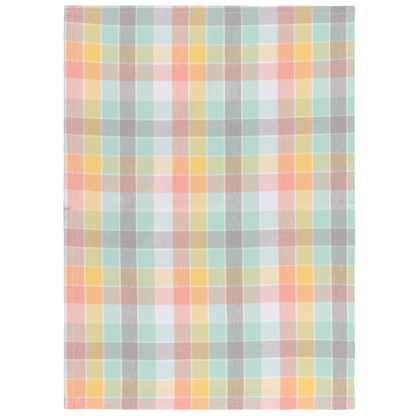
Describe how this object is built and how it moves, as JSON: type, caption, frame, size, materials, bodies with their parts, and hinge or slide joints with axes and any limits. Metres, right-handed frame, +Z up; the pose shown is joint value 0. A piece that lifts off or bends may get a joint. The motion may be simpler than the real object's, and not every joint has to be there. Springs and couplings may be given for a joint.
{
  "type": "tea towel",
  "caption": "Rectangular plain-weave cotton tea towel in a pastel multicolour check, laid flat, with turned and sewn hems and one selvedge side.",
  "frame": {"origin": "middle of the towel's bounding box on the surface it lies on", "axes": "+Y runs along the towel to its top hem, +X across it from the side hem to the selvedge, +Z up out of the face"},
  "size_m": [0.511, 0.707, 0.0028],
  "materials": {
    "cotton": "matt plain-weave cotton in a soft yarn-dyed check of coral, yellow, aqua and grey bands parted by thin white lines"
  },
  "bodies": {
    "root": {"towel": "cotton"}
  },
  "joints": []
}
